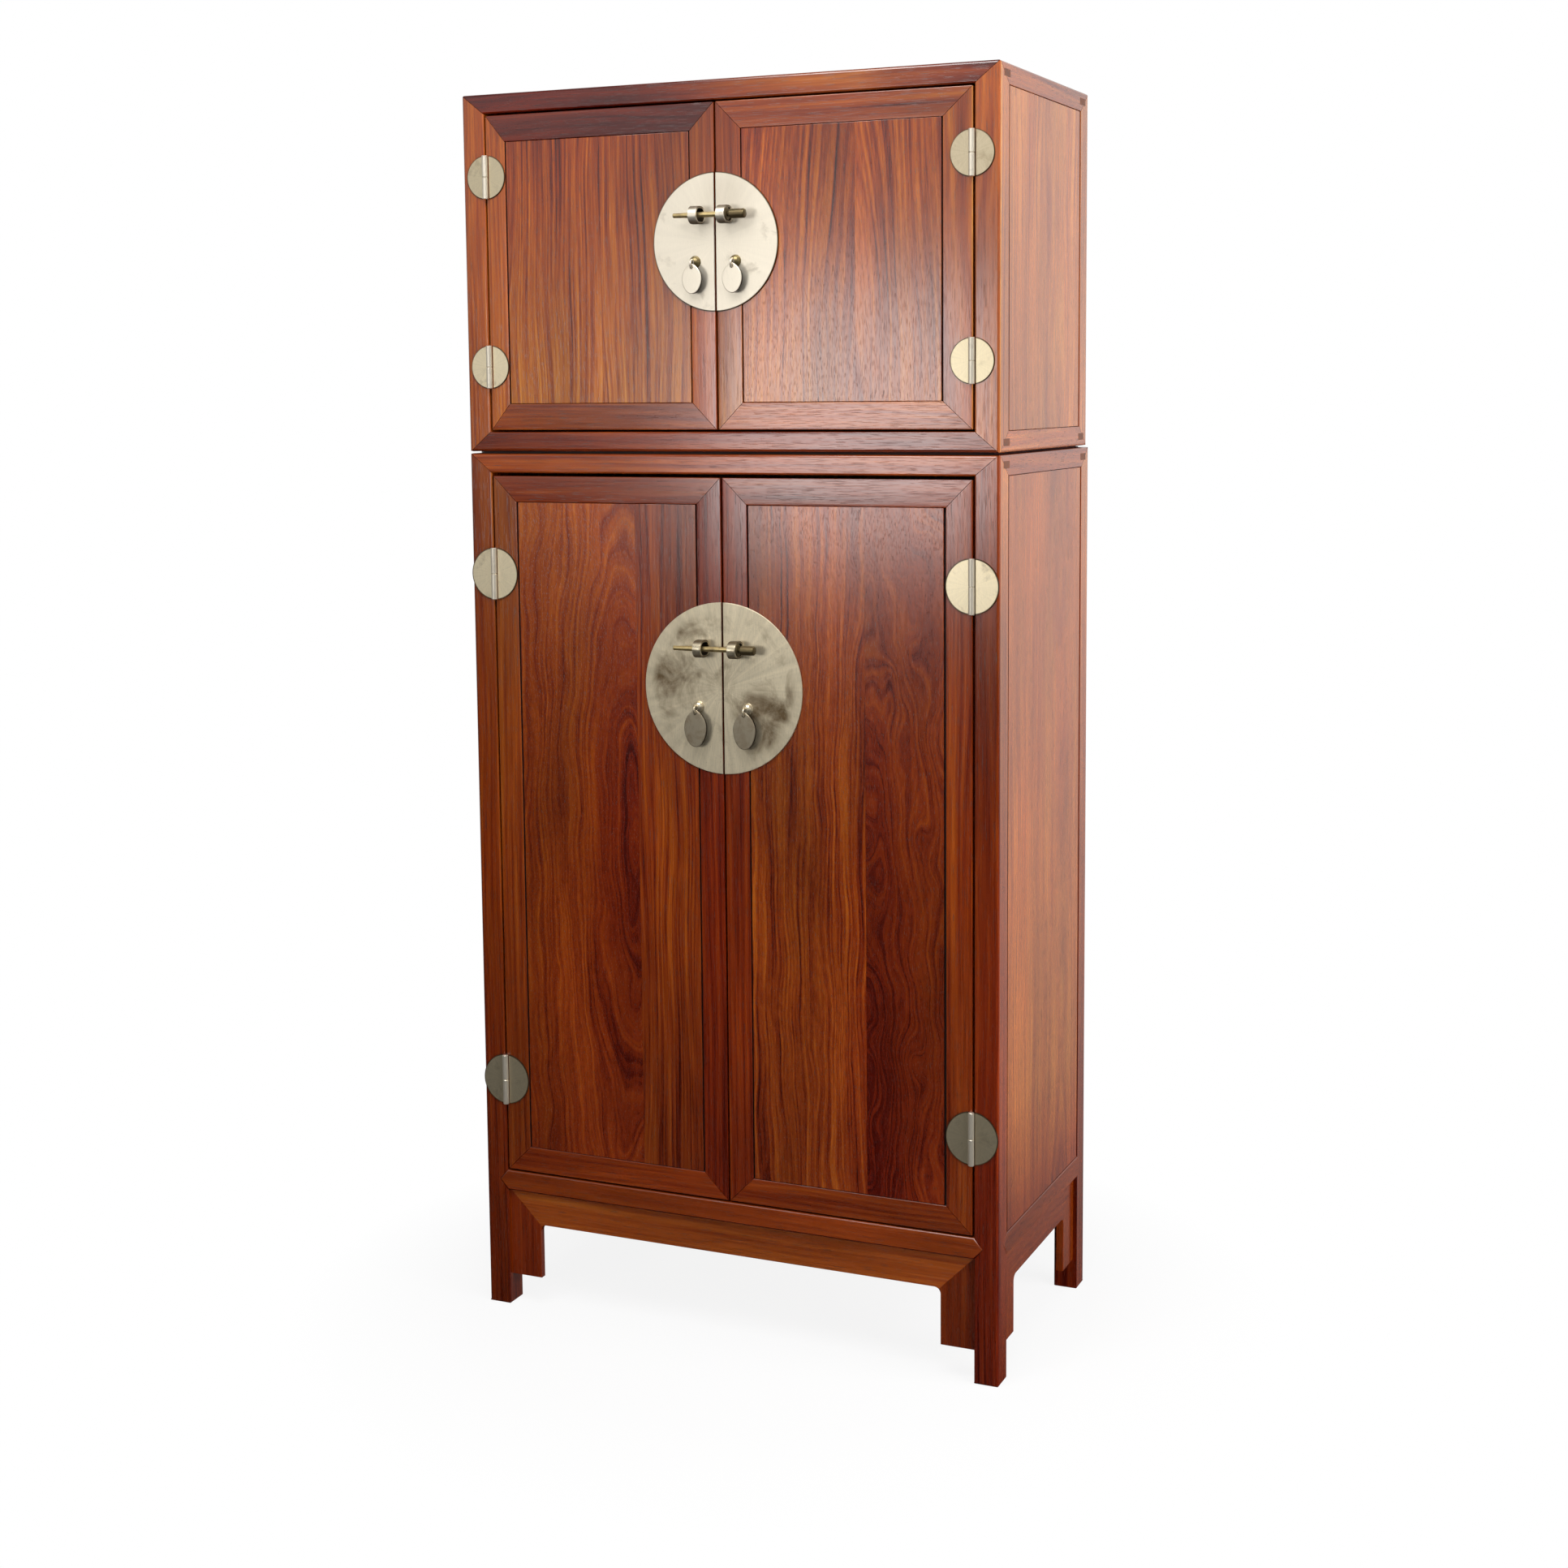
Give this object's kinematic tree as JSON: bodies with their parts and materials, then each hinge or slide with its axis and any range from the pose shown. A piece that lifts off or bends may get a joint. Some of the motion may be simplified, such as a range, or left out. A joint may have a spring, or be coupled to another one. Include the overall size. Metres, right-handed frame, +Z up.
{
  "type": "compound cabinet",
  "caption": "Tall two-part rosewood cabinet: a two-door chest standing on a two-door cabinet, with round brass hinges, split round lock plates, hanging pulls and lock bolts.",
  "frame": {"origin": "middle of the overall footprint on the floor", "axes": "+X to the right of the front, +Y towards the back, +Z up"},
  "size_m": [1.06, 0.5874, 2.3483],
  "materials": {
    "frame_wood": "polished dark reddish-brown rosewood",
    "panel_wood": "polished orange-brown figured rosewood",
    "inner_wood": "plain oiled wood",
    "pale_brass": "pale polished brass with faint scratches",
    "dull_brass": "tarnished pale brass",
    "bolt_brass": "darkened brass"
  },
  "bodies": {
    "lower_cabinet": {"lower_post_front_left": "frame_wood", "lower_post_front_right": "frame_wood", "lower_post_back_left": "frame_wood", "lower_post_back_right": "frame_wood", "lower_top_frame": "frame_wood", "lower_top_panel": "inner_wood", "lower_base_frame": "frame_wood", "lower_floor_panel": "inner_wood", "lower_side_panel_left": "panel_wood", "lower_side_panel_right": "panel_wood", "lower_back_panel": "inner_wood", "lower_shelf": "inner_wood", "front_apron": "frame_wood", "side_apron_left": "frame_wood", "side_apron_right": "frame_wood", "lower_left_top_hinge_post_leaf": "pale_brass", "lower_left_bottom_hinge_post_leaf": "pale_brass", "lower_right_top_hinge_post_leaf": "pale_brass", "lower_right_bottom_hinge_post_leaf": "pale_brass"},
    "upper_chest": {"upper_post_front_left": "frame_wood", "upper_post_front_right": "frame_wood", "upper_post_back_left": "frame_wood", "upper_post_back_right": "frame_wood", "upper_top_frame": "frame_wood", "upper_top_panel": "inner_wood", "upper_base_frame": "frame_wood", "upper_floor_panel": "inner_wood", "upper_side_panel_left": "panel_wood", "upper_side_panel_right": "panel_wood", "upper_back_panel": "inner_wood", "upper_left_top_hinge_post_leaf": "pale_brass", "upper_left_bottom_hinge_post_leaf": "pale_brass", "upper_right_top_hinge_post_leaf": "pale_brass", "upper_right_bottom_hinge_post_leaf": "pale_brass"},
    "lower_left_door": {"lower_left_door_frame": "frame_wood", "lower_left_door_panel": "panel_wood", "lower_left_top_hinge_door_leaf": "pale_brass", "lower_left_bottom_hinge_door_leaf": "pale_brass", "lower_left_lock_plate": "dull_brass"},
    "lower_right_door": {"lower_right_door_frame": "frame_wood", "lower_right_door_panel": "panel_wood", "lower_right_top_hinge_door_leaf": "pale_brass", "lower_right_bottom_hinge_door_leaf": "pale_brass", "lower_right_lock_plate": "dull_brass"},
    "upper_left_door": {"upper_left_door_frame": "frame_wood", "upper_left_door_panel": "panel_wood", "upper_left_top_hinge_door_leaf": "pale_brass", "upper_left_bottom_hinge_door_leaf": "pale_brass", "upper_left_lock_plate": "pale_brass"},
    "upper_right_door": {"upper_right_door_frame": "frame_wood", "upper_right_door_panel": "panel_wood", "upper_right_top_hinge_door_leaf": "pale_brass", "upper_right_bottom_hinge_door_leaf": "pale_brass", "upper_right_lock_plate": "pale_brass"},
    "lower_left_pull": {"lower_left_pull": "dull_brass"},
    "lower_right_pull": {"lower_right_pull": "dull_brass"},
    "lower_bolt": {"lower_bolt": "bolt_brass"},
    "upper_left_pull": {"upper_left_pull": "pale_brass"},
    "upper_right_pull": {"upper_right_pull": "pale_brass"},
    "upper_bolt": {"upper_bolt": "bolt_brass"}
  },
  "joints": [
    {"name": "upper_chest_lift", "type": "slide", "parent": "lower_cabinet", "child": "upper_chest", "axis": [0, 0, 1], "range_m": [0, 0.12]},
    {"name": "lower_left_door_hinge", "type": "hinge", "parent": "lower_cabinet", "child": "lower_left_door", "pos_m": [-0.48, -0.25665, 0.274], "axis": [0, 0, -1], "range_deg": [0, 170]},
    {"name": "lower_right_door_hinge", "type": "hinge", "parent": "lower_cabinet", "child": "lower_right_door", "pos_m": [0.48, -0.25665, 0.274], "axis": [0, 0, 1], "range_deg": [0, 170]},
    {"name": "upper_left_door_hinge", "type": "hinge", "parent": "upper_chest", "child": "upper_left_door", "pos_m": [-0.48, -0.25665, 1.7208], "axis": [0, 0, -1], "range_deg": [0, 170]},
    {"name": "upper_right_door_hinge", "type": "hinge", "parent": "upper_chest", "child": "upper_right_door", "pos_m": [0.48, -0.25665, 1.7208], "axis": [0, 0, 1], "range_deg": [0, 170]},
    {"name": "lower_left_pull_swing", "type": "hinge", "parent": "lower_left_door", "child": "lower_left_pull", "pos_m": [-0.0515, -0.26765, 1.2115], "axis": [-1, 0, 0], "range_deg": [-5, 110]},
    {"name": "lower_right_pull_swing", "type": "hinge", "parent": "lower_right_door", "child": "lower_right_pull", "pos_m": [0.0475, -0.26765, 1.2115], "axis": [-1, 0, 0], "range_deg": [-5, 110]},
    {"name": "upper_left_pull_swing", "type": "hinge", "parent": "upper_left_door", "child": "upper_left_pull", "pos_m": [-0.047, -0.26765, 2.0221], "axis": [-1, 0, 0], "range_deg": [-5, 110]},
    {"name": "upper_right_pull_swing", "type": "hinge", "parent": "upper_right_door", "child": "upper_right_pull", "pos_m": [0.033, -0.26765, 2.0221], "axis": [-1, 0, 0], "range_deg": [-5, 110]},
    {"name": "lower_bolt_draw", "type": "slide", "parent": "lower_right_door", "child": "lower_bolt", "axis": [1, 0, 0], "range_m": [0, 0.105]},
    {"name": "upper_bolt_draw", "type": "slide", "parent": "upper_right_door", "child": "upper_bolt", "axis": [1, 0, 0], "range_m": [0, 0.088]}
  ]
}
